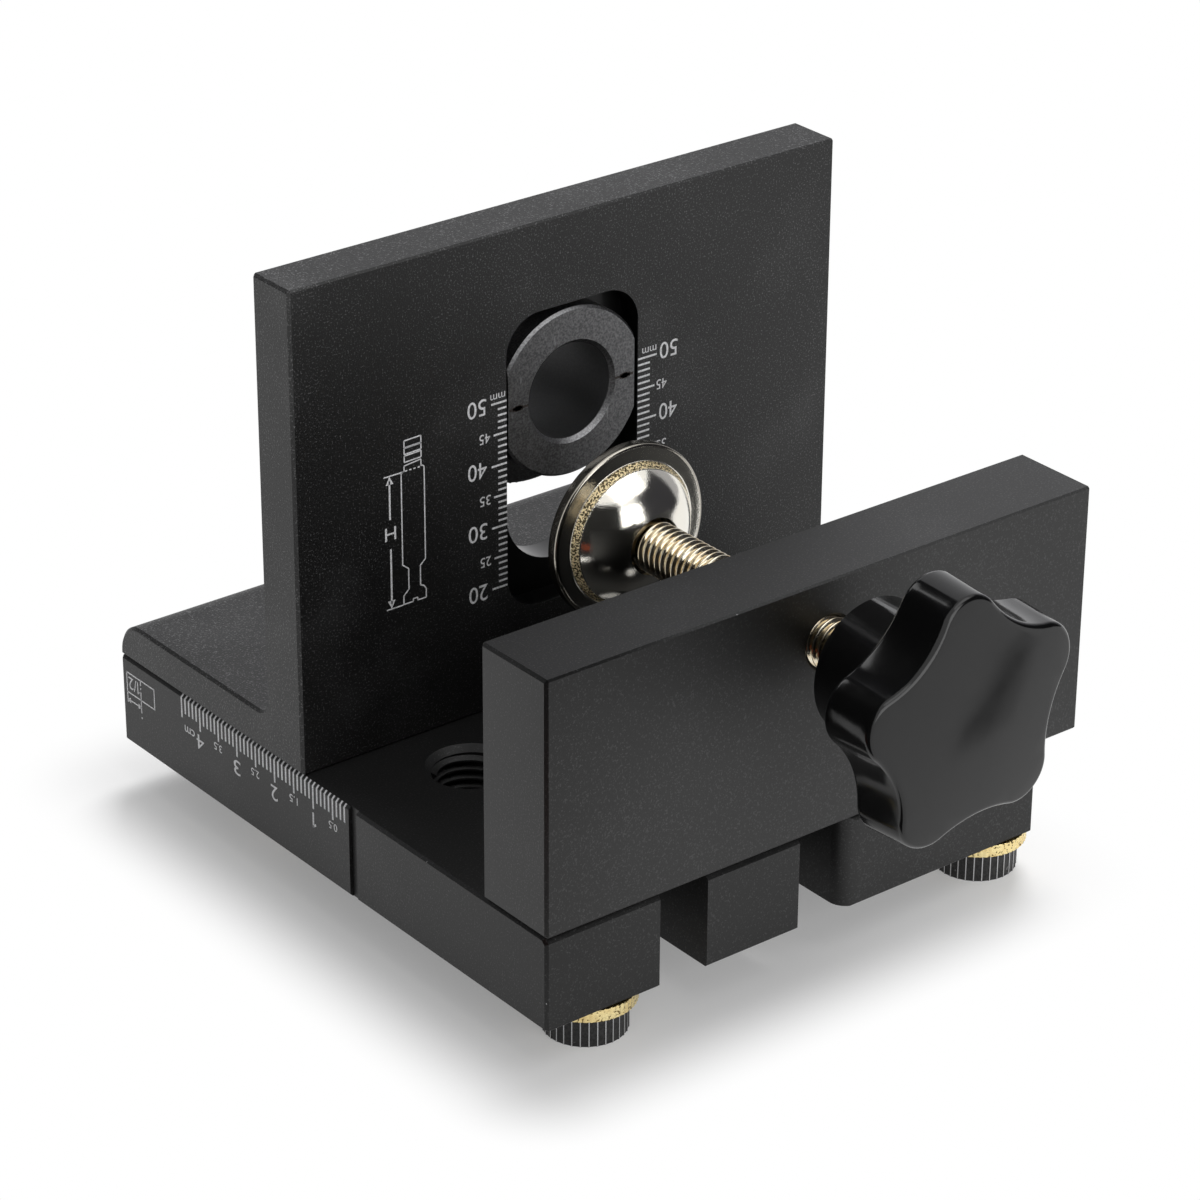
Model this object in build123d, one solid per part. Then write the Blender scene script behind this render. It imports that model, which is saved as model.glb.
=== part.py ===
from build123d import *
import math
import os

# A self centering doweling jig, as it stands on a bench, in millimetres.
# x runs to the right along the jaw, y to the rear and z up. The origin lies on the lower face of
# the base, on the axis of the middle guide hole, so that y is the reading of the side scale.
# A size with HEIGHT in its name is measured from the top of the base, as the fence's scales are.

# Base plate
BASE_THICKNESS = 15.0
BASE_FRONT = -46.0
BASE_LENGTH = 108.0
BASE_SHORTFALL = 8.0
BASE_FRONT_CHAMFER = 0.8
EDGE_BREAK = 0.3
LEFT_END_BREAK = 0.45
RIGHT_END_BREAK = 0.2
FINE_BREAK = 0.4
ZERO_GROOVE_WIDTH = 1.9
ZERO_GROOVE_DEPTH = 0.6

# Guide holes on the zero line, for a drill guide's M12 x 1.5 thread
GUIDE_PITCH = 28.5
GUIDE_RADIUS = 6.0
GUIDE_CHAMFER = 1.0

# Sight slots in the front edge of the base
SIGHT_SLOT_WIDTH = 8.6
SIGHT_SLOT_LENGTH = 22.0
SIGHT_SLOT_PITCH = 25.6
LEG_CORNER_RADIUS = 3.0

# Fixed jaw
JAW_WIDTH = 100.0
JAW_THICKNESS = 14.5
JAW_HEIGHT = 40.0

# Sliding fence
FENCE_READING = 12.5
FENCE_THICKNESS = 9.0
FENCE_HEIGHT = 76.5
FENCE_DEPTH = 49.5
FLANGE_THICKNESS = 6.3
FLANGE_NOSE_RADIUS = 5.5
FENCE_CORNER_RADIUS = 2.5
FENCE_TRAVEL_FORWARD = 5.0
FENCE_TRAVEL_BACK = 23.0
FENCE_SCREW_SETBACK = 18.0

# Cam bush and the stepped slot that it slides in
BUSH_BORE_RADIUS = 7.5
BUSH_BORE_CHAMFER = 0.7
BUSH_FLANGE_RADIUS = 13.4
BUSH_FLATS = 23.6
BUSH_SPIGOT_RADIUS = 9.45
BUSH_SETBACK = 0.25
BUSH_HEIGHT = 48.0
BUSH_TRAVEL_UP = 0.3
BUSH_TRAVEL_DOWN = 18.8
RECESS_DEPTH = 4.0
RECESS_CORNER_RADIUS = 6.0
RECESS_SIDE_GAP = 0.5
RECESS_END_GAP = 0.8

# Clamp nut behind the fence
NUT_RADIUS = 18.0
NUT_THICKNESS = 6.0
NUT_CHAMFER = 0.7
SPIGOT_PROUD = 3.5

# Four screws with knurled heads, and their washers, under the base
JAW_SCREW_INSET = 12.5
FENCE_SCREW_INSET = 14.0
SCREW_RADIUS = 3.0
SCREW_HEAD_RADIUS = 6.3
SCREW_HEAD_HEIGHT = 4.9
SCREW_HEAD_CHAMFER = 0.35
SCREW_SOCKET_FLATS = 4.0
SCREW_SOCKET_DEPTH = 2.6
SCREW_TIP_CHAMFER = 0.6
JAW_SCREW_BITE = 9.0
FENCE_SCREW_BITE = 5.6
WASHER_RADIUS = 7.6
WASHER_THICKNESS = 1.9

# Spindle, its head, and the thrust washer on the head
SPINDLE_HEIGHT = 30.2
SPINDLE_RADIUS = 4.0
SPINDLE_HEAD_RADIUS = 6.6
SPINDLE_HEAD_RISE = 2.0
SPINDLE_TIP_CHAMFER = 0.8
THRUST_WASHER_THICKNESS = 0.7
THRUST_WASHER_RADIUS = 7.0

# Swivel pad: a stamped shell with a dome, and a plate crimped into its back
PAD_READING = 1.0
PAD_RADIUS = 13.9
PAD_WALL = 0.8
PAD_RIM_FRONT = 1.9
PAD_RIM_ROUND = 0.5
PAD_LIP = 0.4
PAD_PLATE_THICKNESS = 1.0
DOME_SPHERE_RADIUS = 12.95
DOME_SPHERE_DEPTH = 3.95
DOME_RADIUS = 10.9
DOME_HOLE_RADIUS = 4.5

# Star knob and the metal insert in its hub
KNOB_GAP = 8.15
HUB_RADIUS = 10.2
HUB_LENGTH = 12.5
STAR_LOBES = 5
STAR_TIP_RADIUS = 19.75
STAR_VALLEY_RADIUS = 15.5
STAR_LOBE_RADIUS = 5.8
STAR_DRAFT = 3.5
STAR_THICKNESS = 8.75
STAR_CROWN = 1.3
STAR_EDGE_RADIUS = 0.9
STAR_TURN = 95.0
INSERT_RADIUS = 5.5
INSERT_LENGTH = 12.0
INSERT_REACH = 0.5

# Clearances
SLIDE_GAP = 0.05
THREAD_GAP = 0.05
PRESS_GAP = 0.02
SCREW_HOLE_GAP = 0.3
DOME_GAP = 0.3

# Places that follow from the sizes above
LEFT = -JAW_WIDTH / 2
RIGHT = JAW_WIDTH / 2
JAW_MIDDLE = BASE_FRONT + JAW_THICKNESS / 2
BASE_TOP = BASE_THICKNESS
SPINDLE_Z = BASE_TOP + SPINDLE_HEIGHT
BUSH_Z = BASE_TOP + BUSH_HEIGHT
BUSH_LOWEST_Z = BUSH_Z - BUSH_TRAVEL_DOWN
BUSH_HIGHEST_Z = BUSH_Z + BUSH_TRAVEL_UP
FLANGE_TOP = BASE_TOP + FLANGE_THICKNESS
FENCE_TOP = BASE_TOP + FENCE_HEIGHT
JAW_SCREWS = {"left": LEFT + JAW_SCREW_INSET, "right": RIGHT - JAW_SCREW_INSET}
FENCE_SCREWS = {"left": LEFT + FENCE_SCREW_INSET, "right": RIGHT - FENCE_SCREW_INSET}
FENCE_SCREW_Y = FENCE_READING + FENCE_SCREW_SETBACK
LEDGE = FENCE_READING + RECESS_DEPTH
FENCE_BACK = FENCE_READING + FENCE_THICKNESS
STAR_BACK = BASE_FRONT - KNOB_GAP - HUB_LENGTH


def block(x0, x1, y0, y1, z0, z1):
    """A box between two corners."""
    middle = Pos((x0 + x1) / 2, (y0 + y1) / 2, (z0 + z1) / 2)
    return middle * Box(x1 - x0, y1 - y0, z1 - z0)


def upright_hole(x, y, radius, z0, z1):
    """A round hole along z."""
    return Pos(x, y, (z0 + z1) / 2) * Cylinder(radius, z1 - z0)


def long_hole(x, y0, y1, radius, z0, z1):
    """A slot along z whose round ends are centred at y0 and y1."""
    ends = upright_hole(x, y0, radius, z0, z1) + upright_hole(x, y1, radius, z0, z1)
    return ends + block(x - radius, x + radius, y0, y1, z0, z1)


def facing_front(y, z):
    """Place for a piece drawn about the z axis, so that its top looks to the front at y, z."""
    return Pos(0, y, z) * Rot(X=90)


def ring(outer, inner, bottom, top):
    """A round disc with a hole, about the z axis."""
    middle = Pos(0, 0, (bottom + top) / 2)
    return middle * (Cylinder(outer, top - bottom) - Cylinder(inner, top - bottom))


def circles(shape, radius):
    """The shape's round edges of one radius."""
    found = shape.edges().filter_by(GeomType.CIRCLE)
    return found.filter_by(lambda edge: abs(edge.radius - radius) < 1e-6)


def extruded_bar(x0, x1, corners):
    """A bar along x. Each corner of its outline is (y, z, how it is eased, by how much)."""
    outline = make_face(Polyline([(x0, y, z) for y, z, ease, size in corners], close=True))
    for y, z, ease, size in corners:
        near = outline.vertices().sort_by_distance((x0, y, z))[0]
        outline = ease(near, size)
    bar = extrude(outline, x1 - x0, dir=(1, 0, 0))
    bar = chamfer(bar.faces().sort_by(Axis.X)[0].edges(), LEFT_END_BREAK)
    return chamfer(bar.faces().sort_by(Axis.X)[-1].edges(), RIGHT_END_BREAK)


def base_plate():
    """Thick plate: sight slots in front, guide holes on the zero line, fence slots behind."""
    front = BASE_FRONT
    rear = BASE_FRONT + BASE_LENGTH
    corners = [
        (front, 0, chamfer, EDGE_BREAK),
        (front, BASE_TOP, chamfer, BASE_FRONT_CHAMFER),
        (rear, BASE_TOP, chamfer, EDGE_BREAK),
        (rear, 0, chamfer, EDGE_BREAK),
    ]
    plate = extruded_bar(LEFT, RIGHT - BASE_SHORTFALL, corners)

    half = SIGHT_SLOT_WIDTH / 2
    slot_end = front + SIGHT_SLOT_LENGTH - half
    for x in (-SIGHT_SLOT_PITCH, 0):
        slot_start = front - SIGHT_SLOT_WIDTH
        plate -= long_hole(x, slot_start, slot_end, half, 0, BASE_TOP)
    leg_corner = (half, front, BASE_TOP / 2)
    upright = plate.edges().filter_by(Axis.Z)
    plate = fillet(upright.sort_by_distance(leg_corner)[0], LEG_CORNER_RADIUS)

    for x in (-GUIDE_PITCH, 0, GUIDE_PITCH):
        plate -= upright_hole(x, 0, GUIDE_RADIUS, 0, BASE_TOP)
    upper_rims = circles(plate, GUIDE_RADIUS).filter_by_position(Axis.Z, BASE_TOP, BASE_TOP)
    plate = chamfer(upper_rims, GUIDE_CHAMFER)

    groove = ZERO_GROOVE_WIDTH / 2
    plate -= block(LEFT, LEFT + ZERO_GROOVE_DEPTH, -groove, groove, 0, BASE_TOP)

    screw_hole = SCREW_RADIUS + SCREW_HOLE_GAP
    for x in JAW_SCREWS.values():
        plate -= upright_hole(x, JAW_MIDDLE, screw_hole, 0, BASE_TOP)
    slot_front = FENCE_SCREW_Y - FENCE_TRAVEL_FORWARD
    slot_rear = FENCE_SCREW_Y + FENCE_TRAVEL_BACK
    for x in FENCE_SCREWS.values():
        plate -= long_hole(x, slot_front, slot_rear, screw_hole, 0, BASE_TOP)
    return plate


def clamp_jaw():
    """Block across the front of the base, tapped for the spindle and for its two screws."""
    back = BASE_FRONT + JAW_THICKNESS
    jaw_top = BASE_TOP + JAW_HEIGHT
    outline = [(BASE_FRONT, BASE_TOP), (BASE_FRONT, jaw_top), (back, jaw_top), (back, BASE_TOP)]
    corners = [(y, z, chamfer, EDGE_BREAK) for y, z in outline]
    jaw = extruded_bar(LEFT, RIGHT, corners)
    thread = SPINDLE_RADIUS + THREAD_GAP
    jaw -= facing_front(JAW_MIDDLE, SPINDLE_Z) * Cylinder(thread, JAW_THICKNESS)
    jaw = chamfer(circles(jaw, thread), FINE_BREAK)
    tapped_depth = BASE_TOP + JAW_SCREW_BITE + SCREW_RADIUS
    for x in JAW_SCREWS.values():
        jaw -= upright_hole(x, JAW_MIDDLE, SCREW_RADIUS + THREAD_GAP, BASE_TOP, tapped_depth)
    return jaw


def fence():
    """L-shaped fence with a stepped slot in its upright and tapped holes in its flange."""
    face = FENCE_READING
    rear = FENCE_READING + FENCE_DEPTH
    corners = [
        (face, BASE_TOP, chamfer, EDGE_BREAK),
        (face, FENCE_TOP, chamfer, EDGE_BREAK),
        (FENCE_BACK, FENCE_TOP, chamfer, EDGE_BREAK),
        (FENCE_BACK, FLANGE_TOP, fillet, FENCE_CORNER_RADIUS),
        (rear, FLANGE_TOP, fillet, FLANGE_NOSE_RADIUS),
        (rear, BASE_TOP, chamfer, EDGE_BREAK),
    ]
    body = extruded_bar(LEFT, RIGHT, corners)

    half = BUSH_FLATS / 2 + RECESS_SIDE_GAP
    low = BUSH_LOWEST_Z - BUSH_FLANGE_RADIUS - RECESS_END_GAP
    high = BUSH_HIGHEST_Z + BUSH_FLANGE_RADIUS + RECESS_END_GAP
    recess = block(-half, half, face, LEDGE, low, high)
    body -= fillet(recess.edges().filter_by(Axis.Y), RECESS_CORNER_RADIUS)

    half = BUSH_SPIGOT_RADIUS + SLIDE_GAP
    body -= block(-half, half, LEDGE, FENCE_BACK, BUSH_LOWEST_Z, BUSH_HIGHEST_Z)
    for z in (BUSH_LOWEST_Z, BUSH_HIGHEST_Z):
        end = Cylinder(half, FENCE_BACK - LEDGE)
        body -= facing_front((LEDGE + FENCE_BACK) / 2, z) * end

    tapped = SCREW_RADIUS + THREAD_GAP
    for x in FENCE_SCREWS.values():
        body -= upright_hole(x, FENCE_SCREW_Y, tapped, BASE_TOP, FLANGE_TOP)
    return body


def cam_bush():
    """Bush with a 15 mm bore: a flange with two flats, and a spigot that takes the nut."""
    flange_thickness = RECESS_DEPTH - BUSH_SETBACK - SLIDE_GAP
    flange = Pos(0, 0, flange_thickness / 2) * Cylinder(BUSH_FLANGE_RADIUS, flange_thickness)
    flange = chamfer(circles(flange, BUSH_FLANGE_RADIUS), FINE_BREAK)
    flats = Box(BUSH_FLATS, 2 * BUSH_FLANGE_RADIUS, 2 * flange_thickness)
    spigot_length = FENCE_THICKNESS - RECESS_DEPTH + 3 * SLIDE_GAP + NUT_THICKNESS + SPIGOT_PROUD
    spigot = Pos(0, 0, -spigot_length / 2) * Cylinder(BUSH_SPIGOT_RADIUS, spigot_length)
    spigot = chamfer(circles(spigot, BUSH_SPIGOT_RADIUS).sort_by(Axis.Z)[0], FINE_BREAK)
    bush = (flange & flats) + spigot
    bush -= Cylinder(BUSH_BORE_RADIUS, 2 * (spigot_length + flange_thickness))
    bush = chamfer(circles(bush, BUSH_BORE_RADIUS), BUSH_BORE_CHAMFER)
    return facing_front(LEDGE - SLIDE_GAP, BUSH_Z) * bush


def bush_nut():
    """Round nut that clamps the bush from behind the fence."""
    nut = ring(NUT_RADIUS, BUSH_SPIGOT_RADIUS + THREAD_GAP, -NUT_THICKNESS, 0)
    nut = chamfer(circles(nut, NUT_RADIUS), NUT_CHAMFER)
    return facing_front(FENCE_BACK + 2 * SLIDE_GAP, BUSH_Z) * nut


def head_screw(x, y, bite):
    """Screw with a low round head and a hexagon socket, pointing up through the base."""
    length = WASHER_THICKNESS + BASE_THICKNESS + bite
    head = Pos(0, 0, -SCREW_HEAD_HEIGHT / 2) * Cylinder(SCREW_HEAD_RADIUS, SCREW_HEAD_HEIGHT)
    head = chamfer(circles(head, SCREW_HEAD_RADIUS), SCREW_HEAD_CHAMFER)
    hexagon = RegularPolygon(SCREW_SOCKET_FLATS / 2, 6, major_radius=False)
    socket = extrude(hexagon, SCREW_SOCKET_DEPTH)
    shank = Pos(0, 0, length / 2) * Cylinder(SCREW_RADIUS, length)
    shank = chamfer(circles(shank, SCREW_RADIUS).sort_by(Axis.Z)[-1], SCREW_TIP_CHAMFER)
    screw = head - Pos(0, 0, -SCREW_HEAD_HEIGHT) * socket + shank
    return Pos(x, y, -WASHER_THICKNESS) * screw


def washer(x, y):
    """Flat washer between a screw's head and the base."""
    hole = SCREW_RADIUS + SCREW_HOLE_GAP
    return Pos(x, y, 0) * ring(WASHER_RADIUS, hole, -WASHER_THICKNESS, 0)


def on_sphere(sphere, radius):
    """The point of a sphere at one radius from the spindle's axis, ahead of the pad's face."""
    return (radius, 0, math.sqrt(sphere**2 - radius**2) - DOME_SPHERE_DEPTH)


def sphere_arc(sphere, start, end):
    """The arc of a sphere's outline between two radii from the spindle's axis."""
    middle = (start + end) / 2
    return ThreePointArc(*[on_sphere(sphere, radius) for radius in (start, middle, end)])


def turned(lines):
    """A solid of revolution about the z axis, from the lines of its half outline."""
    return revolve(make_face(lines), Axis.Z)


def on_pad(solid):
    """Put a piece drawn ahead of the pad's face in its place on the spindle."""
    return facing_front(PAD_READING, SPINDLE_Z) * solid


def pad_shell():
    """Stamped shell: a dome round the spindle, a sloping brim and a lip round the plate."""
    inner_sphere = DOME_SPHERE_RADIUS - PAD_WALL
    inner_rim = PAD_RADIUS - PAD_WALL
    inner_dome = DOME_RADIUS - PAD_WALL / 2
    outer_arc = sphere_arc(DOME_SPHERE_RADIUS, DOME_HOLE_RADIUS, DOME_RADIUS)
    inner_arc = sphere_arc(inner_sphere, inner_dome, DOME_HOLE_RADIUS)
    rim = Polyline(
        on_sphere(DOME_SPHERE_RADIUS, DOME_RADIUS),
        (PAD_RADIUS - PAD_RIM_ROUND, 0, PAD_RIM_FRONT),
        (PAD_RADIUS, 0, PAD_RIM_FRONT - PAD_RIM_ROUND),
        (PAD_RADIUS, 0, PAD_LIP),
        (inner_rim, 0, PAD_LIP),
        (inner_rim, 0, PAD_RIM_FRONT - PAD_WALL),
        on_sphere(inner_sphere, inner_dome),
    )
    mouth = Line(
        on_sphere(inner_sphere, DOME_HOLE_RADIUS),
        on_sphere(DOME_SPHERE_RADIUS, DOME_HOLE_RADIUS),
    )
    return on_pad(turned([outer_arc, rim, inner_arc, mouth]))


def pad_plate():
    """Flat plate in the back of the shell, the face that presses on the board."""
    radius = PAD_RADIUS - PAD_WALL - PRESS_GAP
    plate = Pos(0, 0, PAD_PLATE_THICKNESS / 2) * Cylinder(radius, PAD_PLATE_THICKNESS)
    return on_pad(plate)


def thrust_washer():
    """Thin dished washer between the spindle's head and the dome."""
    outer = DOME_SPHERE_RADIUS - PAD_WALL - DOME_GAP
    inner = outer - THRUST_WASHER_THICKNESS
    hole = SPINDLE_RADIUS + DOME_GAP
    edge = THRUST_WASHER_RADIUS
    front = sphere_arc(outer, hole, edge)
    back = sphere_arc(inner, edge, hole)
    rim = Line(on_sphere(outer, edge), on_sphere(inner, edge))
    bore = Line(on_sphere(inner, hole), on_sphere(outer, hole))
    return on_pad(turned([front, rim, back, bore]))


def spindle():
    """M8 spindle from its domed head in the pad to its front end in the knob's insert."""
    sphere = DOME_SPHERE_RADIUS - PAD_WALL - THRUST_WASHER_THICKNESS - 2 * DOME_GAP
    front_end = PAD_READING - BASE_FRONT + KNOB_GAP + INSERT_LENGTH - INSERT_REACH
    shank_and_tip = Polyline(
        on_sphere(sphere, SPINDLE_RADIUS),
        (SPINDLE_RADIUS, 0, front_end - SPINDLE_TIP_CHAMFER),
        (SPINDLE_RADIUS - SPINDLE_TIP_CHAMFER, 0, front_end),
        (0, 0, front_end),
        (0, 0, SPINDLE_HEAD_RISE),
        (SPINDLE_HEAD_RADIUS, 0, SPINDLE_HEAD_RISE),
        on_sphere(sphere, SPINDLE_HEAD_RADIUS),
    )
    head_arc = sphere_arc(sphere, SPINDLE_HEAD_RADIUS, SPINDLE_RADIUS)
    return on_pad(turned([shank_and_tip, head_arc]))


def polar(radius, degrees):
    """A point of the knob's outline."""
    angle = math.radians(degrees)
    return (radius * math.cos(angle), radius * math.sin(angle), 0)


def star_outline():
    """The star's back: lobes and valleys as arcs that run into each other without a corner."""
    step = 360 / STAR_LOBES
    half_step = math.radians(step / 2)
    lobe_centre = STAR_TIP_RADIUS - STAR_LOBE_RADIUS
    across = lobe_centre * math.cos(half_step)
    spread = lobe_centre**2 + STAR_VALLEY_RADIUS**2 - 2 * across * STAR_VALLEY_RADIUS
    valley = (spread - STAR_LOBE_RADIUS**2) / (2 * (STAR_LOBE_RADIUS + across - STAR_VALLEY_RADIUS))
    valley_centre = STAR_VALLEY_RADIUS + valley
    share = STAR_LOBE_RADIUS / (STAR_LOBE_RADIUS + valley)
    join_x = lobe_centre + share * (valley_centre * math.cos(half_step) - lobe_centre)
    join_y = share * valley_centre * math.sin(half_step)
    join_radius = math.hypot(join_x, join_y)
    join_angle = math.degrees(math.atan2(join_y, join_x))
    arcs = []
    for lobe in range(STAR_LOBES):
        middle = STAR_TURN + lobe * step
        before = polar(join_radius, middle - join_angle)
        after = polar(join_radius, middle + join_angle)
        next_lobe = polar(join_radius, middle + step - join_angle)
        arcs.append(ThreePointArc(before, polar(STAR_TIP_RADIUS, middle), after))
        valley_middle = polar(STAR_VALLEY_RADIUS, middle + step / 2)
        arcs.append(ThreePointArc(after, valley_middle, next_lobe))
    return make_face(arcs)


def star_knob():
    """Knob with a crowned five-lobed front and a hub that holds the metal insert."""
    star = extrude(star_outline(), STAR_THICKNESS + STAR_CROWN, taper=STAR_DRAFT)
    crown_radius = (STAR_TIP_RADIUS**2 + STAR_CROWN**2) / (2 * STAR_CROWN)
    crown_centre = STAR_THICKNESS + STAR_CROWN - crown_radius
    star &= Pos(0, 0, crown_centre) * Sphere(crown_radius)
    front = star.faces().sort_by(Axis.Z)[-1]
    back = star.faces().sort_by(Axis.Z)[0]
    star = fillet(front.edges() + back.edges(), STAR_EDGE_RADIUS)
    hub = Pos(0, 0, -HUB_LENGTH / 2) * Cylinder(HUB_RADIUS, HUB_LENGTH)
    hub = chamfer(circles(hub, HUB_RADIUS).sort_by(Axis.Z)[0], FINE_BREAK)
    socket_radius = INSERT_RADIUS + PRESS_GAP
    socket = Pos(0, 0, INSERT_LENGTH / 2 - HUB_LENGTH) * Cylinder(socket_radius, INSERT_LENGTH)
    knob = star + hub - socket
    return facing_front(STAR_BACK, SPINDLE_Z) * knob


def knob_insert():
    """Threaded metal sleeve moulded into the knob's hub."""
    thread = SPINDLE_RADIUS + THREAD_GAP
    sleeve = ring(INSERT_RADIUS, thread, -HUB_LENGTH, INSERT_LENGTH - HUB_LENGTH)
    return facing_front(STAR_BACK, SPINDLE_Z) * sleeve


def all_parts():
    """Every piece of the jig, by name."""
    parts = {
        "base_plate": base_plate(),
        "clamp_jaw": clamp_jaw(),
        "fence": fence(),
        "cam_bush": cam_bush(),
        "bush_nut": bush_nut(),
        "pad_shell": pad_shell(),
        "pad_plate": pad_plate(),
        "thrust_washer": thrust_washer(),
        "spindle": spindle(),
        "star_knob": star_knob(),
        "knob_insert": knob_insert(),
    }
    for side, x in JAW_SCREWS.items():
        parts["jaw_screw_" + side] = head_screw(x, JAW_MIDDLE, JAW_SCREW_BITE)
        parts["jaw_washer_" + side] = washer(x, JAW_MIDDLE)
    for side, x in FENCE_SCREWS.items():
        parts["fence_screw_" + side] = head_screw(x, FENCE_SCREW_Y, FENCE_SCREW_BITE)
        parts["fence_washer_" + side] = washer(x, FENCE_SCREW_Y)
    return parts


os.makedirs("parts", exist_ok=True)
for name, solid in all_parts().items():
    export_step(solid, os.path.join("parts", name + ".step"))
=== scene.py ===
import math

import bmesh
import bpy
from mathutils import Matrix, Vector


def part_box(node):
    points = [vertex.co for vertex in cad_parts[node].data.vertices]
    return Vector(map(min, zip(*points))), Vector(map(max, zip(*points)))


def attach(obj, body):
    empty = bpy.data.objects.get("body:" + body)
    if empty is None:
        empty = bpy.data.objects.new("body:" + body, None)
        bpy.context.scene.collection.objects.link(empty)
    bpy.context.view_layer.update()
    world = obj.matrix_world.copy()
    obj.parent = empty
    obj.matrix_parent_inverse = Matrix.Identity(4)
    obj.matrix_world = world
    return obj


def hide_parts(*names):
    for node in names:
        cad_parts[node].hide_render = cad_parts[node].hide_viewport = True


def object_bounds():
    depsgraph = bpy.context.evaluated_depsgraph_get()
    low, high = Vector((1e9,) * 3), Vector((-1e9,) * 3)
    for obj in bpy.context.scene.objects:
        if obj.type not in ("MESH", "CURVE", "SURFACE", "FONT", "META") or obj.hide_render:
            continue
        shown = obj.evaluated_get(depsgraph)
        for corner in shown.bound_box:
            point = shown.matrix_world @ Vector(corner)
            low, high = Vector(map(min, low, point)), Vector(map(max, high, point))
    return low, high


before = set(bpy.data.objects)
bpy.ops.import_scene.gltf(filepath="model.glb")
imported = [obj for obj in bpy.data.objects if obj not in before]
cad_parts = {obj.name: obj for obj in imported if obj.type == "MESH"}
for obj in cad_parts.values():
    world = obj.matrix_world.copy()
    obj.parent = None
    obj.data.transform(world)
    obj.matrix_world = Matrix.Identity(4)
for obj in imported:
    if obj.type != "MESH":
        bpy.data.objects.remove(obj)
cad_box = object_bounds()
MM = 0.001

# ---------------------------------------------------------------------------------------------
# Base plate, clamp jaw and fence: blocks of aluminium, milled, bead blasted and anodised black.
# The blasting leaves a grain, coarser on the fence, and handling wore small nicks in the edges.
# ---------------------------------------------------------------------------------------------


def new_material(name, **sockets):
    """A material with these values on its shader."""
    material = bpy.data.materials.new(name)
    material.use_nodes = True
    shader = material.node_tree.nodes["Principled BSDF"]
    for socket, value in sockets.items():
        shader.inputs[socket.replace("_", " ")].default_value = value
    return material


def shader_of(material):
    return material.node_tree.nodes["Principled BSDF"]


def add_node(material, kind, values=(), **settings):
    """A node of a material. Values are (input, number, colour or another node's output)."""
    node = material.node_tree.nodes.new("ShaderNode" + kind)
    for setting, value in settings.items():
        setattr(node, setting, value)
    for socket, value in values:
        if isinstance(value, bpy.types.NodeSocket):
            material.node_tree.links.new(value, node.inputs[socket])
        else:
            node.inputs[socket].default_value = value
    return node


def drive(material, socket, output):
    """Let a node's output set one of the shader's values."""
    material.node_tree.links.new(output, shader_of(material).inputs[socket])


def place(material):
    """Where a point lies, in metres in the shared frame."""
    return add_node(material, "TexCoord").outputs["Object"]


def noise(material, per_mm, detail=2.0, stretch=(1, 1, 1)):
    """Cloudy noise with about this many blots to a millimetre."""
    scaled = add_node(material, "Mapping", [("Vector", place(material)), ("Scale", stretch)])
    values = [("Vector", scaled.outputs[0]), ("Scale", per_mm / MM), ("Detail", detail)]
    return add_node(material, "TexNoise", values).outputs["Fac"]


def between(material, value, low, high, to_low=0.0, to_high=1.0):
    """The share of the way from low to high, smoothed at both ends and fitted to a new range."""
    values = [("Value", value), ("From Min", low), ("From Max", high)]
    values += [("To Min", to_low), ("To Max", to_high)]
    return add_node(material, "MapRange", values, interpolation_type="SMOOTHSTEP").outputs[0]


def math_of(material, operation, first, second=0.0):
    """The result of a sum on two numbers or outputs."""
    values = [(0, first), (1, second)]
    return add_node(material, "Math", values, operation=operation).outputs[0]


def blend_colour(material, share, low, high):
    """A colour between two colours."""
    values = [(0, share), (6, low), (7, high)]
    return add_node(material, "Mix", values, data_type="RGBA").outputs[2]


def bump(material, height, depth_mm, strength=1.0):
    """Small dents and bumps that are too fine for the mesh."""
    values = [("Height", height), ("Distance", depth_mm * MM), ("Strength", strength)]
    drive(material, "Normal", add_node(material, "Bump", values).outputs[0])


def grey(level):
    """A neutral grey, a little to the blue."""
    return (level, level, level * 1.02, 1)


def off_the_square(material):
    """1 on chamfers and rounded corners, and 0 on faces that lie square to the axes."""
    normal = add_node(material, "NewGeometry").outputs["True Normal"]
    size = add_node(material, "VectorMath", [(0, normal)], operation="ABSOLUTE").outputs[0]
    parts = add_node(material, "SeparateXYZ", [(0, size)])
    largest = math_of(material, "MAXIMUM", parts.outputs[0], parts.outputs[1])
    largest = math_of(material, "MAXIMUM", largest, parts.outputs[2])
    return between(material, largest, 0.95, 0.8)


def anodised_aluminium(name, specular, grain_depth, pale, milled=None):
    """Blasted, black anodised aluminium. The function milled gives 1 where a cutter smoothed it."""
    finish = new_material(name, Specular_IOR_Level=specular)
    smooth = milled(finish) if milled else 0.0
    blasted = math_of(finish, "SUBTRACT", 1.0, smooth)
    grain = noise(finish, 3.6, 3.0)
    clouds = noise(finish, 0.05, 4.0)
    flecks = between(finish, grain, 0.54, 0.72)
    tone = between(finish, math_of(finish, "ADD", flecks, clouds), 0.45, 1.3, 0.0, blasted)
    body_colour = blend_colour(finish, tone, grey(0.001), pale)
    nicks = between(finish, noise(finish, 1.8, 3.0), 0.72, 0.77)
    worn = math_of(finish, "MULTIPLY", nicks, off_the_square(finish))
    specks = between(finish, noise(finish, 2.6, 1.0), 0.84, 0.88)
    worn = math_of(finish, "MAXIMUM", worn, math_of(finish, "MULTIPLY", specks, 0.2))
    drive(finish, "Base Color", blend_colour(finish, worn, body_colour, grey(0.3)))
    rough = between(finish, tone, 0.0, 1.0, 0.52, 0.4)
    smoother = math_of(finish, "MULTIPLY", smooth, -0.24)
    drive(finish, "Roughness", math_of(finish, "ADD", rough, smoother))
    bump(finish, grain, grain_depth, math_of(finish, "MULTIPLY", blasted, 0.6))
    return finish


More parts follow.
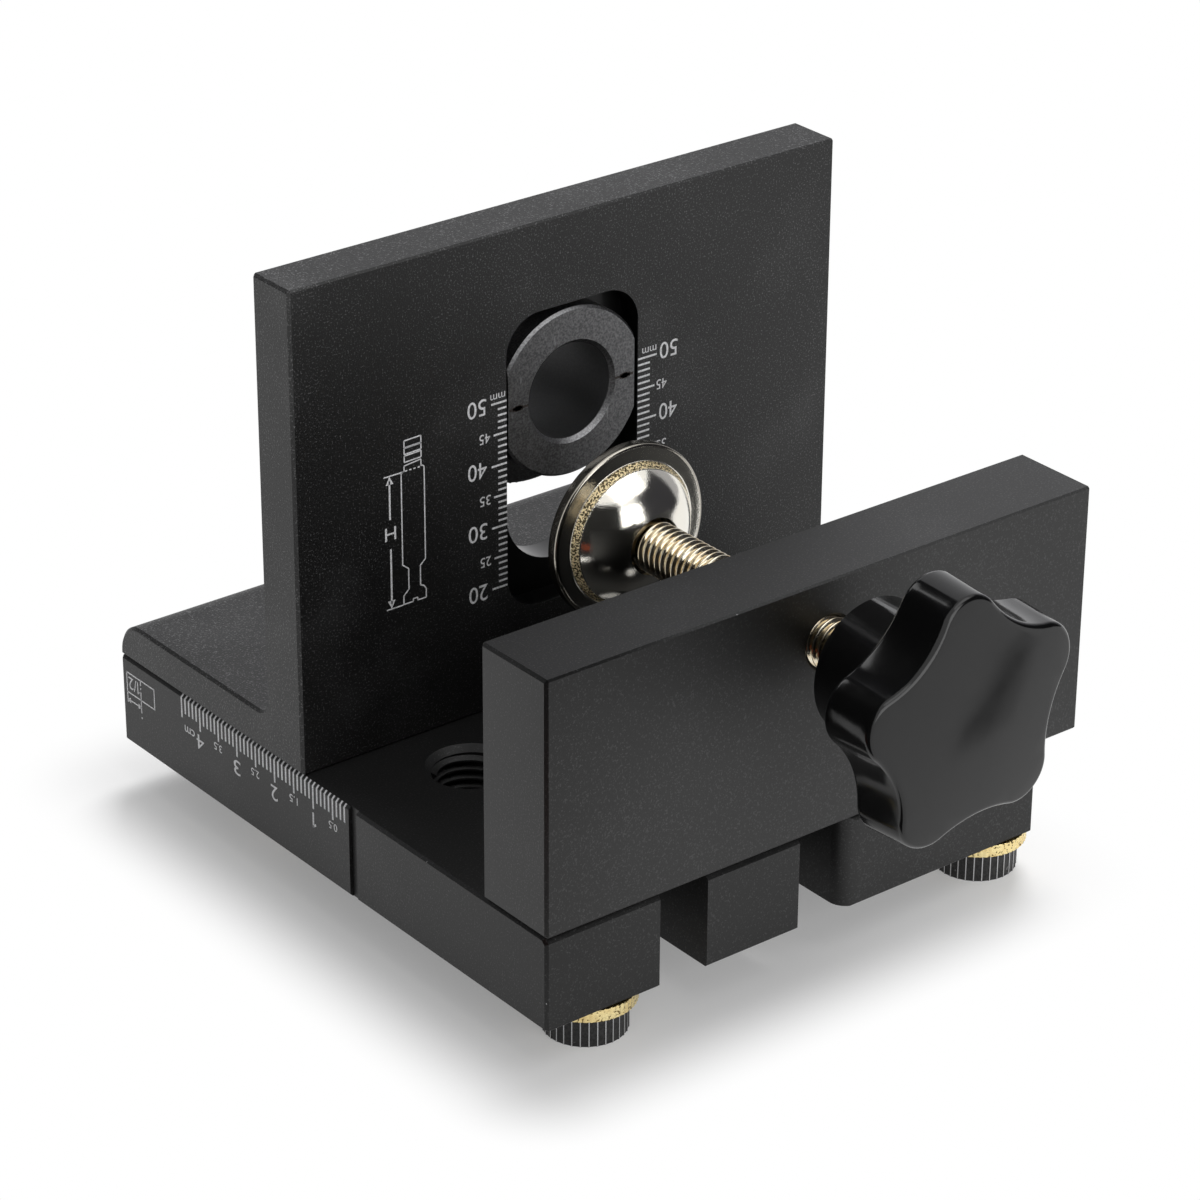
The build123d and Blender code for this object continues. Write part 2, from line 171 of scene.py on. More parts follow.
def in_slot(material):
    """1 in the fence's slot and its recess, which the cutter left smoother than the faces."""
    where = add_node(material, "SeparateXYZ", [(0, place(material))])
    aside = math_of(material, "ABSOLUTE", where.outputs[0])
    inside = between(material, aside, 12.45 * MM, 12.35 * MM)
    for axis, low, high in ((1, 12.7, 12.8), (1, 21.45, 21.35), (2, 77.9, 77.8)):
        limit = between(material, where.outputs[axis], low * MM, high * MM)
        inside = math_of(material, "MULTIPLY", inside, limit)
    return inside


def dress(node, material):
    """Give a CAD node a material in place of its plain one."""
    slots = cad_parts[node].data.materials
    slots.clear()
    slots.append(material)


anodised = anodised_aluminium("black_anodised_aluminium", 0.5, 0.02, grey(0.022))
# The jaw gets a copy of the base's anodise that reflects more, so that it shows lighter: a lit copy
# of the same finish.
lit_jaw_anodised = anodised_aluminium("lit_copy_anodised_aluminium", 0.64, 0.02, grey(0.022))
coarse_anodised = anodised_aluminium("coarse_anodised_aluminium", 0.54, 0.1, grey(0.075), in_slot)
dress("base_plate", anodised)
dress("clamp_jaw", lit_jaw_anodised)
dress("fence", coarse_anodised)

# ---------------------------------------------------------------------------------------------
# Side scale: millimetres engraved by laser into the left side of the base, from the zero
# groove to 45. The lines run over the top edge, and the figures stand on their heads, because
# the jig is turned over to be used.
# ---------------------------------------------------------------------------------------------
MARK_HEIGHT = 0.02
LAST_READING = 45

engraved = new_material("laser_engraving", Roughness=0.7, Specular_IOR_Level=0.2)
frosting = between(engraved, noise(engraved, 5.0), 0.3, 0.7)
drive(engraved, "Base Color", blend_colour(engraved, frosting, grey(0.55), grey(0.85)))


def object_from(bm, name, material, body, smooth_angle=None):
    """A piece made from a bmesh, which rides on a body."""
    mesh = bpy.data.meshes.new(name)
    bm.to_mesh(mesh)
    bm.free()
    mesh.materials.append(material)
    piece = bpy.data.objects.new(name, mesh)
    bpy.context.scene.collection.objects.link(piece)
    if smooth_angle is not None:
        mesh.shade_smooth()
        mesh.set_sharp_from_angle(angle=math.radians(smooth_angle))
    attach(piece, body)
    return piece


def bar(bm, low, high):
    """A box between two corners, in millimetres."""
    size = (Vector(high) - Vector(low)) * MM
    middle = (Vector(high) + Vector(low)) * MM / 2
    matrix = Matrix.Translation(middle) @ Matrix.Diagonal((*size, 1))
    return bmesh.ops.create_cube(bm, size=1, matrix=matrix)["verts"]


def lettering(bm, words, middle, width, height, across, up):
    """Words in flat letters, in millimetres. Across and up are the directions they run in."""
    curve = bpy.data.curves.new("lettering", "FONT")
    curve.body = words
    curve.extrude = 0.5
    holder = bpy.data.objects.new("lettering", curve)
    bpy.context.scene.collection.objects.link(holder)
    bpy.context.view_layer.update()
    mesh = bpy.data.meshes.new_from_object(holder)
    bpy.data.objects.remove(holder)
    corners = [Vector(v.co) for v in mesh.vertices]
    low = Vector([min(c[i] for c in corners) for i in range(3)])
    high = Vector([max(c[i] for c in corners) for i in range(3)])
    size = high - low
    fit = Matrix.Diagonal((width / size.x, height / size.y, MARK_HEIGHT / size.z, 1))
    fit = fit @ Matrix.Translation(-(low + high) / 2)
    across, up = Vector(across), Vector(up)
    turn = Matrix((across, up, across.cross(up))).transposed().to_4x4()
    mesh.transform(Matrix.Scale(MM, 4) @ Matrix.Translation(Vector(middle)) @ turn @ fit)
    bm.from_mesh(mesh)
    bpy.data.meshes.remove(mesh)


BASE_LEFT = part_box("base_plate")[0].x / MM
BASE_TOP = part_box("base_plate")[1].z / MM
TOP_CHAMFER = 0.45
SIDE_LINE = 0.36
SYMBOL_LINE = 0.22
shoulder = BASE_TOP - TOP_CHAMFER
side_scale = bmesh.new()
for reading in range(2, LAST_READING + 1):
    bottom = 10.7 if reading % 10 == 0 else 11.1 if reading % 5 == 0 else 12.0
    front, rear = reading - SIDE_LINE / 2, reading + SIDE_LINE / 2
    bar(side_scale, (BASE_LEFT - MARK_HEIGHT, front, bottom), (BASE_LEFT, rear, shoulder))
    lean = bar(side_scale, (-MARK_HEIGHT, front, 0), (0, rear, TOP_CHAMFER * math.sqrt(2)))
    turn = Matrix.Rotation(math.radians(45), 4, "Y")
    bmesh.ops.transform(side_scale, matrix=turn, verts=lean)
    shift = Vector((BASE_LEFT, 0, shoulder)) * MM
    bmesh.ops.translate(side_scale, vec=shift, verts=lean)
SIDE = {"across": (0, 1, 0), "up": (0, 0, -1)}
for words, y, z, width, height in (
    ("2", 20.2, 8.8, 1.75, 2.5),
    ("3", 30.1, 8.8, 1.75, 2.5),
    ("4", 40.1, 8.75, 2.0, 2.5),
    ("cm", 43.0, 9.55, 2.7, 1.1),
    ("0.5", 5.0, 10.0, 2.1, 1.25),
    ("1.5", 15.1, 10.0, 2.1, 1.25),
    ("2.5", 25.2, 10.0, 2.1, 1.25),
    ("3.5", 35.2, 10.05, 2.1, 1.25),
    ("/2", 58.95, 10.85, 2.2, 2.1),
):
    lettering(side_scale, words, (BASE_LEFT - MARK_HEIGHT / 2, y, z), width, height, **SIDE)


# The scale's 1 and the symbol of a half thickness are drawn with single lines.
def side_line(start, end, width):
    """A straight engraved line on the base's left side, between two (y, z) points."""
    run = Vector((0, end[0] - start[0], end[1] - start[1]))
    verts = bar(side_scale, (-MARK_HEIGHT, 0, -width / 2), (0, run.length, width / 2))
    turn = Matrix.Rotation(math.atan2(run.z, run.y), 4, "X")
    bmesh.ops.transform(side_scale, matrix=turn, verts=verts)
    shift = Vector((BASE_LEFT, *start)) * MM
    bmesh.ops.translate(side_scale, vec=shift, verts=verts)


for start, end in (((10.05, 10.05), (10.05, 7.55)), ((10.1, 7.65), (9.4, 8.2))):
    side_line(start, end, SIDE_LINE)
for start, end in (
    ((57.5, 11.9), (57.5, 9.8)),
    ((57.5, 9.85), (57.05, 10.3)),
    ((60.6, 12.5), (52.8, 12.5)),
    ((60.6, 9.05), (52.8, 9.05)),
    ((52.8, 12.6), (52.8, 8.95)),
    ((60.55, 12.6), (60.55, 7.2)),
    ((56.65, 12.5), (56.65, 11.6)),
    ((56.65, 11.2), (56.65, 10.9)),
    ((56.65, 10.5), (56.65, 6.8)),
    ((56.65, 6.1), (56.65, 5.8)),
    ((60.5, 7.75), (56.7, 7.75)),
    ((60.5, 7.75), (59.7, 8.1)),
    ((60.5, 7.75), (59.7, 7.4)),
    ((56.7, 7.75), (57.5, 8.1)),
    ((56.7, 7.75), (57.5, 7.4)),
):
    side_line(start, end, SYMBOL_LINE)
object_from(side_scale, "side_scale", engraved, "base")

# ---------------------------------------------------------------------------------------------
# Guide hole threads: M12 by 1.5, tapped through the base on the zero line, where a drill guide
# screws in. Each is a ridge of the base's own metal, wound inside the plain bored wall.
# ---------------------------------------------------------------------------------------------
GUIDE_PITCH = 28.5
GUIDE_RADIUS = 6.0
GUIDE_CREST = 5.2
GUIDE_THREAD = 1.5
GUIDE_TURNS = 8.4
TURN_STEPS = 40


def wind(bm, outline, axis, centre, pitch, turns):
    """Sweep an outline, in millimetres, along a screw thread about an axis."""
    verts = [bm.verts.new(Vector(point) * MM) for point in outline]
    edges = [bm.edges.new(pair) for pair in zip(verts, verts[1:])]
    steps = round(turns * TURN_STEPS)
    rise = Vector(axis) * pitch * MM / TURN_STEPS
    bmesh.ops.spin(
        bm,
        geom=verts + edges,
        cent=Vector(centre) * MM,
        axis=axis,
        dvec=rise,
        angle=math.tau * steps / TURN_STEPS,
        steps=steps,
        use_merge=False,
    )


def close_up(bm, gap_mm=0.0005):
    """Weld what touches, cap the open ends and turn every face outwards."""
    bmesh.ops.remove_doubles(bm, verts=bm.verts, dist=gap_mm * MM)
    open_edges = [edge for edge in bm.edges if edge.is_boundary]
    bmesh.ops.holes_fill(bm, edges=open_edges, sides=0)
    bmesh.ops.recalc_face_normals(bm, faces=bm.faces)


def join(bm, other):
    """Add one shape to another."""
    loose = bpy.data.meshes.new("loose")
    other.to_mesh(loose)
    other.free()
    bm.from_mesh(loose)
    bpy.data.meshes.remove(loose)


guide_threads = bmesh.new()
for x in (-GUIDE_PITCH, 0, GUIDE_PITCH):
    ridge = bmesh.new()
    foot, crest = x + GUIDE_RADIUS + 0.02, x + GUIDE_CREST
    outline = [(foot, 0, 0.15), (crest, 0, 0.62), (crest, 0, 0.88), (foot, 0, 1.35)]
    outline += outline[:1]
    wind(ridge, outline, (0, 0, 1), (x, 0, 0), GUIDE_THREAD, GUIDE_TURNS)
    close_up(ridge)
    join(guide_threads, ridge)
object_from(guide_threads, "guide_hole_threads", anodised, "base", 40)

# ---------------------------------------------------------------------------------------------
# Four screws under the base, on which the jig stands. Each has a blackened head with a coarse
# straight knurl and a hexagon socket, and a brass washer with a fine knurl on its edge.
# ---------------------------------------------------------------------------------------------
HEAD_RIBS = 32
HEAD_CREST = 0.5
HEAD_FLANK = 0.3
HEAD_GROOVE = 0.1
HEAD_EASE = 0.45
SHANK_RADIUS = 3.0
SHANK_IN_HEAD = 2.2
TIP_CHAMFER = 0.6
SOCKET_RADIUS = 2.31
SOCKET_DEPTH = 2.6
WASHER_RIBS = 56
WASHER_GROOVE = 0.07
WASHER_EASE = 0.12
WASHER_HOLE = 3.3
WASHER_GAP = 0.02

blackened = new_material("blackened_steel", Metallic=0.35, Specular_IOR_Level=0.5)
oxide = noise(blackened, 2.4, 3.0)
colour = blend_colour(blackened, between(blackened, oxide, 0.3, 0.7), grey(0.012), grey(0.035))
rubbed = between(blackened, noise(blackened, 0.9, 4.0), 0.66, 0.72)
drive(blackened, "Base Color", blend_colour(blackened, rubbed, colour, grey(0.16)))
drive(blackened, "Roughness", between(blackened, oxide, 0.2, 0.8, 0.28, 0.44))
bump(blackened, oxide, 0.01, 0.4)

brass = new_material("turned_brass", Metallic=1.0)
tarnish = between(brass, noise(brass, 0.5, 4.0), 0.35, 0.75)
bright, dull = (1.0, 0.84, 0.43, 1), (0.9, 0.68, 0.3, 1)
beaten = noise(brass, 2.6, 3.0)
hollows = between(brass, beaten, 0.36, 0.43, 1.0, 0.0)
brass_colour = blend_colour(brass, tarnish, bright, dull)
drive(brass, "Base Color", blend_colour(brass, hollows, brass_colour, (0.16, 0.1, 0.03, 1)))
drive(brass, "Roughness", between(brass, beaten, 0.2, 0.8, 0.14, 0.3))
bump(brass, beaten, 0.08, 0.8)

rubbed_steel = new_material("rubbed_steel", Metallic=1.0, Base_Color=grey(0.6))
rubs = noise(rubbed_steel, 3.0)
drive(rubbed_steel, "Roughness", between(rubbed_steel, rubs, 0.3, 0.7, 0.25, 0.5))


def knurled_disc(radius, ribs, groove, levels, ease, hole, hole_sides=48, crest=1, flank=1):
    """A round disc about the z axis with straight ribs on its rim, in millimetres.

    Levels are its bottom and its top. Each rib has four points round the rim: its crest and its
    flanks are shares of a quarter.
    """
    bottom, top = levels
    bm = bmesh.new()
    rim = bmesh.ops.create_circle(bm, segments=ribs * 4, radius=radius * MM, cap_ends=False)
    rim = rim["verts"]
    turns = (0, crest - 1, crest + flank - 2, 1 - flank)
    for i, vert in enumerate(rim):
        vert.co.rotate(Matrix.Rotation(math.tau / (ribs * 4) * turns[i % 4], 3, "Z"))
        if i % 4 >= 2:
            vert.co *= (radius - groove) / radius
    bmesh.ops.create_circle(bm, segments=hole_sides, radius=hole * MM, cap_ends=False)
    bmesh.ops.triangle_fill(bm, edges=bm.edges[:], use_beauty=True)
    bmesh.ops.translate(bm, vec=(0, 0, bottom * MM), verts=bm.verts)
    raised = bmesh.ops.extrude_face_region(bm, geom=bm.faces[:])["geom"]
    upper = [part for part in raised if isinstance(part, bmesh.types.BMVert)]
    bmesh.ops.translate(bm, vec=(0, 0, (top - bottom) * MM), verts=upper)
    bmesh.ops.recalc_face_normals(bm, faces=bm.faces)
    for vert in bm.verts:
        vert.tag = vert.co.to_2d().length > (radius - groove - 0.01) * MM
    shoulders = [
        edge
        for edge in bm.edges
        if all(vert.tag for vert in edge.verts)
        and abs(edge.verts[0].co.z - edge.verts[1].co.z) < 1e-7
        and len({round(face.normal.z) for face in edge.link_faces}) > 1
    ]
    bmesh.ops.bevel(
        bm,
        geom=shoulders,
        offset=ease * MM,
        affect="EDGES",
        segments=1,
        profile=0.5,
        material=-1,
        clamp_overlap=True,
    )
    return bm


def screw_and_washer(number, screw, washer, screw_body, washer_body):
    """Dress one screw and its washer, each in the place of its plain CAD node."""
    low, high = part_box(screw)
    x, y = (low.x + high.x) / 2, (low.y + high.y) / 2
    radius = (high.x - low.x) / 2 / MM
    bottom, shank_top = low.z / MM, high.z / MM
    washer_low, washer_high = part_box(washer)
    seat = washer_low.z / MM

    head = knurled_disc(
        radius,
        HEAD_RIBS,
        HEAD_GROOVE,
        (bottom, seat),
        HEAD_EASE,
        SOCKET_RADIUS,
        hole_sides=6,
        crest=HEAD_CREST,
        flank=HEAD_FLANK,
    )
    # The crests of the ribs are rubbed bright.
    crest = (radius - HEAD_GROOVE / 5) * MM
    for face in head.faces:
        if abs(face.normal.z) < 0.9 and all(v.co.to_2d().length > crest for v in face.verts):
            face.material_index = 1
    floor = bmesh.ops.create_circle(head, cap_ends=True, segments=6, radius=SOCKET_RADIUS * MM)
    lift = (0, 0, (bottom + SOCKET_DEPTH) * MM)
    bmesh.ops.translate(head, vec=lift, verts=floor["verts"])
    shank = bmesh.ops.create_cone(
        head,
        cap_ends=True,
        segments=32,
        radius1=SHANK_RADIUS * MM,
        radius2=SHANK_RADIUS * MM,
        depth=(shank_top - seat + SHANK_IN_HEAD) * MM,
    )
    lift = (0, 0, (shank_top + seat - SHANK_IN_HEAD) / 2 * MM)
    bmesh.ops.translate(head, vec=lift, verts=shank["verts"])
    tip = [e for e in head.edges if all(abs(v.co.z - shank_top * MM) < 1e-6 for v in e.verts)]
    bmesh.ops.bevel(
        head,
        geom=tip,
        offset=TIP_CHAMFER * MM,
        affect="EDGES",
        segments=1,
        profile=0.5,
        material=-1,
    )
    bmesh.ops.translate(head, vec=(x, y, 0), verts=head.verts)
    piece = object_from(head, "knurled_screw_" + number, blackened, screw_body, 30)
    piece.data.materials.append(rubbed_steel)
    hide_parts(screw)

    radius = (washer_high.x - washer_low.x) / 2 / MM
    levels = (seat, washer_high.z / MM - WASHER_GAP)
    disc = knurled_disc(radius, WASHER_RIBS, WASHER_GROOVE, levels, WASHER_EASE, WASHER_HOLE)
    bmesh.ops.translate(disc, vec=(x, y, 0), verts=disc.verts)
    piece = object_from(disc, "knurled_washer_" + number, brass, washer_body, 30)
    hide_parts(washer)


for number, side in (("1", "left"), ("2", "right")):
    screw_and_washer(number, "jaw_screw_" + side, "jaw_washer_" + side, "base", "base")
for number, side in (("3", "left"), ("4", "right")):
    screw, washer = "fence_screw_" + side, "fence_washer_" + side
    screw_and_washer(number, screw, washer, side + "_fence_screw", "sliding_fence")

# ---------------------------------------------------------------------------------------------
# Fence scales and sign: millimetres engraved on both sides of the slot, from 20 to 50 above
# the base, and left of them the outline of a connecting bolt with its height marked H.
# ---------------------------------------------------------------------------------------------
FENCE_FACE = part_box("fence")[0].y / MM
SLOT_EDGE = 12.3
FENCE_LINE = 0.32
SIGN_LINE = 0.2
ARROW_LINE = 0.3
fence_scales = bmesh.new()
FRONT = {"across": (1, 0, 0), "up": (0, 0, 1)}
UPSIDE_DOWN = {"across": (-1, 0, 0), "up": (0, 0, -1)}
FRONT_OF_FENCE = FENCE_FACE - MARK_HEIGHT
for reading in range(20, 51):
    z = BASE_TOP + reading
    for side, (short, longer, longest) in ((-1, (1.6, 2.4, 2.8)), (1, (2.3, 3.2, 3.6))):
        length = longest if reading % 10 == 0 else longer if reading % 5 == 0 else short
        ends = sorted((side * SLOT_EDGE, side * (SLOT_EDGE + length)))
        low = (ends[0], FRONT_OF_FENCE, z - FENCE_LINE / 2)
        high = (ends[1], FENCE_FACE, z + FENCE_LINE / 2)
        bar(fence_scales, low, high)
MARK_MIDDLE = FENCE_FACE - MARK_HEIGHT / 2
for x_large, x_small, x_unit, rise in ((-17.7, -16.3, -13.9, 0), (18.2, 16.9, 14.45, 0.25)):
    for reading in (20, 30, 40, 50):
        middle = (x_large, MARK_MIDDLE, BASE_TOP + reading + rise)
        lettering(fence_scales, str(reading), middle, 3.4, 2.65, **UPSIDE_DOWN)
    for reading in (25, 35, 45):
        middle = (x_small, MARK_MIDDLE, BASE_TOP + reading - 0.1)
        lettering(fence_scales, str(reading), middle, 1.95, 1.6, **UPSIDE_DOWN)
    middle = (x_unit, MARK_MIDDLE, BASE_TOP + 51.15)
    lettering(fence_scales, "mm", middle, 2.7, 0.85, **UPSIDE_DOWN)


def fence_line(start, end, width=SIGN_LINE):
    """A straight engraved line on the fence's face, between two (x, z) points."""
    run = Vector((end[0] - start[0], 0, end[1] - start[1]))
    verts = bar(fence_scales, (0, -MARK_HEIGHT, -width / 2), (run.length, 0, width / 2))
    turn = Matrix.Rotation(-math.atan2(run.z, run.x), 4, "Y")
    bmesh.ops.transform(fence_scales, matrix=turn, verts=verts)
    shift = Vector((start[0], FENCE_FACE, start[1])) * MM
    bmesh.ops.translate(fence_scales, vec=shift, verts=verts)


def fence_path(points):
    """A chain of engraved lines."""
    for start, end in zip(points, points[1:]):
        fence_line(start, end)


for low, high in ((62.5, 63.6), (61.45, 62.4), (60.2, 61.2)):
    fence_path([(-30.8, low), (-27.8, low + 0.1), (-27.8, high + 0.1), (-30.8, high), (-30.8, low)])
fence_path([(-30.85, 58.8), (-30.85, 59.65), (-27.85, 59.95), (-27.85, 58.9)])
for x in (-30.7, -29.95, -29.2, -28.45):
    fence_line((x, 58.8), (x + 0.4, 58.8))
fence_path([(-30.85, 58.85), (-31.4, 58.6), (-31.4, 43.9), (-30.35, 43.05), (-30.35, 39.7)])
fence_path([(-30.35, 39.7), (-31.3, 38.85), (-31.3, 37.45), (-29.6, 37.45), (-29.6, 37.9)])
fence_path([(-29.6, 37.9), (-28.8, 37.9), (-28.8, 37.45), (-27.25, 37.45), (-27.25, 38.9)])
fence_path([(-27.25, 38.9), (-27.7, 39.55), (-28.25, 39.75), (-28.25, 42.95), (-27.3, 43.8)])
fence_path([(-27.3, 43.8), (-27.3, 58.6), (-27.55, 58.9), (-27.85, 58.9)])
fence_line((-34.5, 58.75), (-31.0, 58.75))
fence_line((-34.4, 37.4), (-31.4, 37.4))
fence_line((-33.5, 58.0), (-33.5, 51.8), ARROW_LINE)
fence_line((-33.45, 47.1), (-33.45, 38.2), ARROW_LINE)
lettering(fence_scales, "H", (-33.45, MARK_MIDDLE, 49.55), 1.95, 2.1, **FRONT)
for tip, foot in ((58.7, 57.4), (37.45, 38.75)):
    corners = ((-34.15, foot), (-32.8, foot), (-33.48, tip))
    verts = [fence_scales.verts.new(Vector((x, FENCE_FACE, z)) * MM) for x, z in corners]
    arrow = fence_scales.faces.new(verts)
    raised = bmesh.ops.extrude_face_region(fence_scales, geom=[arrow])["geom"]
    front = [part for part in raised if isinstance(part, bmesh.types.BMVert)]
    bmesh.ops.translate(fence_scales, vec=(0, -MARK_HEIGHT * MM, 0), verts=front)
bmesh.ops.recalc_face_normals(fence_scales, faces=fence_scales.faces)
object_from(fence_scales, "fence_scales", engraved, "sliding_fence")

# ---------------------------------------------------------------------------------------------
# Cam bush: turned from steel, hardened and blackened, with a ground 15 mm bore. Two index lines
# beside the bore, drawn in dark ink, are read against the fence's scales.
# ---------------------------------------------------------------------------------------------
BUSH_Z = (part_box("bush_nut")[0].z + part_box("bush_nut")[1].z) / 2 / MM


def from_axis(material, z):
    """The distance in metres from an axis that runs front to back at this height."""
    values = [("Vector", place(material)), ("Location", (0, 0, -z * MM)), ("Scale", (1, 0, 1))]
    across = add_node(material, "Mapping", values)
    length = add_node(material, "VectorMath", [(0, across.outputs[0])], operation="LENGTH")
    return length.outputs["Value"]


hardened = new_material("hardened_bush_steel", Metallic=1.0)
speckle = noise(hardened, 3.4, 4.0)
colour = blend_colour(hardened, between(hardened, speckle, 0.3, 0.75), grey(0.13), grey(0.27))
scuffs = between(hardened, noise(hardened, 1.4, 5.0, (1, 1, 0.25)), 0.64, 0.74)
colour = blend_colour(hardened, scuffs, colour, grey(0.36))
# Inside the bore the colour drops to a near-black grey: painted shade in the bore. The bore is also
# made rougher.
bore_shade_and_dulling = between(hardened, from_axis(hardened, BUSH_Z), 7.6 * MM, 7.54 * MM)
drive(hardened, "Base Color", blend_colour(hardened, bore_shade_and_dulling, colour, grey(0.055)))
gloss = between(hardened, speckle, 0.2, 0.8, 0.34, 0.46)
dulled = math_of(hardened, "MULTIPLY", bore_shade_and_dulling, 0.25)
drive(hardened, "Roughness", math_of(hardened, "ADD", gloss, dulled))
bump(hardened, speckle, 0.015, 0.5)
dress("cam_bush", hardened)

ink = new_material("index_ink", Roughness=0.6)
dark_ink, brown_ink = (0.008, 0.006, 0.005, 1), (0.035, 0.024, 0.018, 1)
drive(ink, "Base Color", blend_colour(ink, noise(ink, 3.0), dark_ink, brown_ink))
BUSH_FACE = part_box("cam_bush")[0].y / MM
INK_HEIGHT = 0.015
index_lines = bmesh.new()
for side in (-1, 1):
    for start, end, width in ((8.1, 11.6, 0.4), (9.1, 11.0, 0.75), (9.5, 10.5, 0.95)):
        ends = sorted((side * start, side * end))
        low = (ends[0], BUSH_FACE - INK_HEIGHT, BUSH_Z - width / 2)
        bar(index_lines, low, (ends[1], BUSH_FACE, BUSH_Z + width / 2))
object_from(index_lines, "index_lines", ink, "bush")

# ---------------------------------------------------------------------------------------------
# Bush nut: a round steel nut, blackened, turned by hand to lock the bush at its height from
# behind the fence. Its rim is knurled behind a plain shoulder that meets the fence.
# ---------------------------------------------------------------------------------------------
NUT_RIBS = 90
NUT_GROOVE = 0.35
NUT_HOLE = 9.5
NUT_SHOULDER = 1.2
NUT_LAP = 0.1
SHOULDER_EASE = 0.6
NUT_EASE = 0.4
nut_low, nut_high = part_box("bush_nut")
nut_radius = (nut_high.x - nut_low.x) / 2 / MM
nut_depth = (nut_high.y - nut_low.y) / MM
levels = (0, NUT_SHOULDER)
nut = knurled_disc(nut_radius - NUT_GROOVE, NUT_RIBS, 0, levels, SHOULDER_EASE, NUT_HOLE)
levels = (NUT_SHOULDER - NUT_LAP, nut_depth)
join(nut, knurled_disc(nut_radius, NUT_RIBS, NUT_GROOVE, levels, NUT_EASE, NUT_HOLE))
stand = Matrix.Translation((0, nut_low.y, BUSH_Z * MM))
stand = stand @ Matrix.Rotation(math.radians(-90), 4, "X")
bmesh.ops.transform(nut, matrix=stand, verts=nut.verts)
nut_piece = object_from(nut, "knurled_nut", blackened, "nut", 30)
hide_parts("bush_nut")

# ---------------------------------------------------------------------------------------------
# Spindle: an M8 screw, rolled and nickel plated, with a domed head held inside the pad.
# Its thread is cut all the way from the head to the knob.
# ---------------------------------------------------------------------------------------------
SPINDLE_Z = (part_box("spindle")[0].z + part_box("spindle")[1].z) / 2 / MM
SPINDLE_RADIUS = 4.0
SPINDLE_ROOT = 3.33
SPINDLE_PITCH = 1.25
THREAD_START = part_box("spindle")[0].y / MM
THREAD_END = -6.3

nickel = new_material("nickel_plated_thread", Metallic=1.0)
patches = noise(nickel, 0.8, 4.0)
pale, warm = (0.80, 0.75, 0.62, 1), (0.68, 0.55, 0.36, 1)
drive(nickel, "Base Color", blend_colour(nickel, between(nickel, patches, 0.3, 0.7), pale, warm))
drive(nickel, "Roughness", between(nickel, noise(nickel, 2.5), 0.2, 0.8, 0.1, 0.22))


def revolve(outline, steps, closed=False):
    """A shape turned about the spindle's axis from an outline of (radius, y) points."""
    bm = bmesh.new()
    verts = [bm.verts.new((x * MM, y * MM, SPINDLE_Z * MM)) for x, y in outline]
    ends = verts[1:] + verts[:1] if closed else verts[1:]
    edges = [bm.edges.new(pair) for pair in zip(verts, ends)]
    bmesh.ops.spin(
        bm,
        geom=verts + edges,
        cent=(0, 0, SPINDLE_Z * MM),
        axis=(0, 1, 0),
        dvec=(0, 0, 0),
        angle=math.tau,
        steps=steps,
        use_merge=True,
    )
    return bm


thread = bmesh.new()
flank = SPINDLE_RADIUS - 0.08
outline = [(SPINDLE_ROOT, 0), (SPINDLE_ROOT, 0.16), (flank, 0.5), (SPINDLE_RADIUS, 0.6)]
outline += [(SPINDLE_RADIUS, 0.72), (flank, 0.82), (SPINDLE_ROOT, 1.16)]
outline += [(SPINDLE_ROOT, SPINDLE_PITCH)]
outline = [(radius, THREAD_START + y, SPINDLE_Z) for radius, y in outline]
thread_turns = (THREAD_END - THREAD_START) / SPINDLE_PITCH - 1
wind(thread, outline, (0, 1, 0), (0, 0, SPINDLE_Z), SPINDLE_PITCH, thread_turns)
close_up(thread)
head_outline = [(0, -6.9), (3.6, -6.9), (3.6, -5.2), (6.5, -3.7)]
head_outline += [(6.6, -1.1), (6.4, -1.0), (0, -1.0)]
spindle_head = revolve(head_outline, 64)
close_up(spindle_head)
join(thread, spindle_head)
spindle_piece = object_from(thread, "threaded_spindle", nickel, "screw", 50)
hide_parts("spindle")

# ---------------------------------------------------------------------------------------------
# Swivel pad: a shell pressed from sheet steel and chromed, with a rough ring where the dome was
# drawn out of the brim, and a plate crimped into its back. A thin washer lines the dome.
# ---------------------------------------------------------------------------------------------
DOME_CENTRE = 4.95
DOME_SPHERE = 12.95
DOME_RADIUS = 10.9
DOME_HOLE = 4.5
INNER_RADIUS = 10.5
PAD_RADIUS = 13.9
PAD_WALL = 0.8

chrome = new_material("chromed_pad", Metallic=1.0)
pad_spread = from_axis(chrome, SPINDLE_Z)
ring_in = between(chrome, pad_spread, 10.4 * MM, 10.6 * MM)
ring_out = between(chrome, pad_spread, 11.35 * MM, 11.2 * MM)
drawn_ring = math_of(chrome, "MULTIPLY", ring_in, ring_out)
pits = noise(chrome, 3.6, 3.0)
grains = between(chrome, noise(chrome, 3.6, 2.0), 0.46, 0.54)
gilt = blend_colour(chrome, grains, (0.08, 0.06, 0.03, 1), (0.95, 0.8, 0.5, 1))
